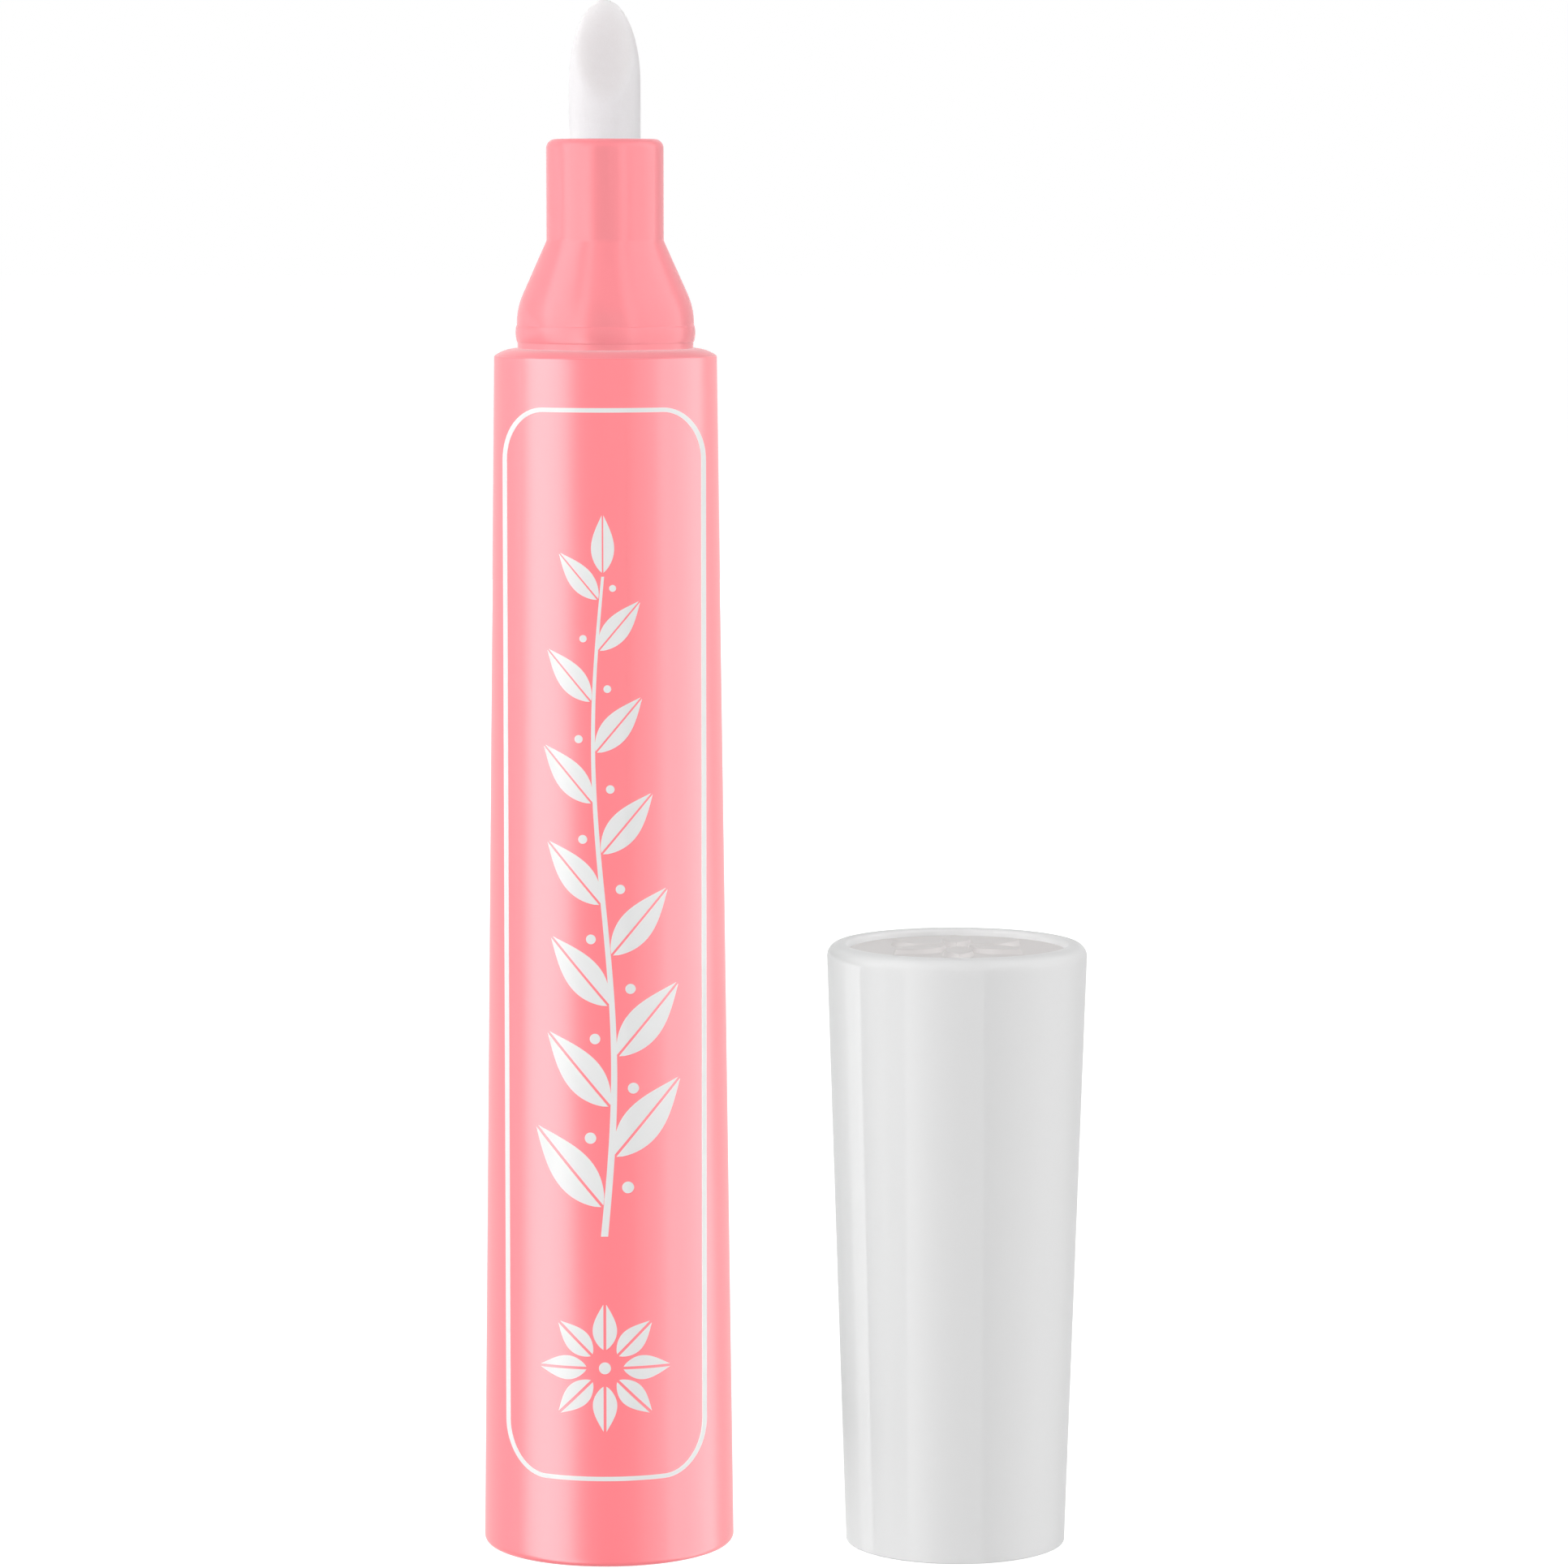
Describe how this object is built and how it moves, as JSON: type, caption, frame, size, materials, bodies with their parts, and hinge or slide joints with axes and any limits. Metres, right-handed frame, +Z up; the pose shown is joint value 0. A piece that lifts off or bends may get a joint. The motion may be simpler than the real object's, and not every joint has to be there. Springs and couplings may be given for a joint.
{
  "type": "nail oil pen",
  "caption": "Felt-tip pen for nail oil: tapered coral barrel, slanted felt nib on a stepped front section, and a tapered pull-off cap standing beside it on its open end.",
  "frame": {"origin": "on the pen's axis, in the plane of the barrel's foot, on which the pen and its cap stand", "axes": "+Z up along the pen's axis towards the nib, +X from the pen to the cap that stands beside it, -Y towards the side that the nib's slanted face looks to"},
  "size_m": [0.0429, 0.0184, 0.1092],
  "materials": {
    "barrel_gloss": "moulded polypropylene with a high gloss, coral pink",
    "plug_gloss": "moulded, coral pink, a little less bright than the barrel",
    "section_satin": "moulded, coral pink, satin",
    "nib_felt": "bonded felt, off-white, matt",
    "reservoir_fibre": "bonded polyester fibres, matt",
    "reservoir_film": "clear film wrap",
    "cap_satin": "moulded, pale grey, satin with a fine texture",
    "inner_cap_plain": "plain moulded, off-white",
    "disc_satin": "moulded, warm pale grey, satin, with a raised rosette",
    "print_ink": "screen-printed lines on the barrel, near white, glossy"
  },
  "bodies": {
    "pen": {"barrel": "barrel_gloss", "rear_plug": "plug_gloss", "front_section": "section_satin", "nib": "nib_felt", "reservoir_core": "reservoir_fibre", "reservoir_sleeve": "reservoir_film"},
    "cap": {"cap_shell": "cap_satin", "inner_cap": "inner_cap_plain", "cap_end_disc": "disc_satin"}
  },
  "joints": [
    {"name": "cap_lift", "type": "slide", "parent": "pen", "child": "cap", "axis": [0, 0, 1], "range_m": [0, 0.112]}
  ]
}
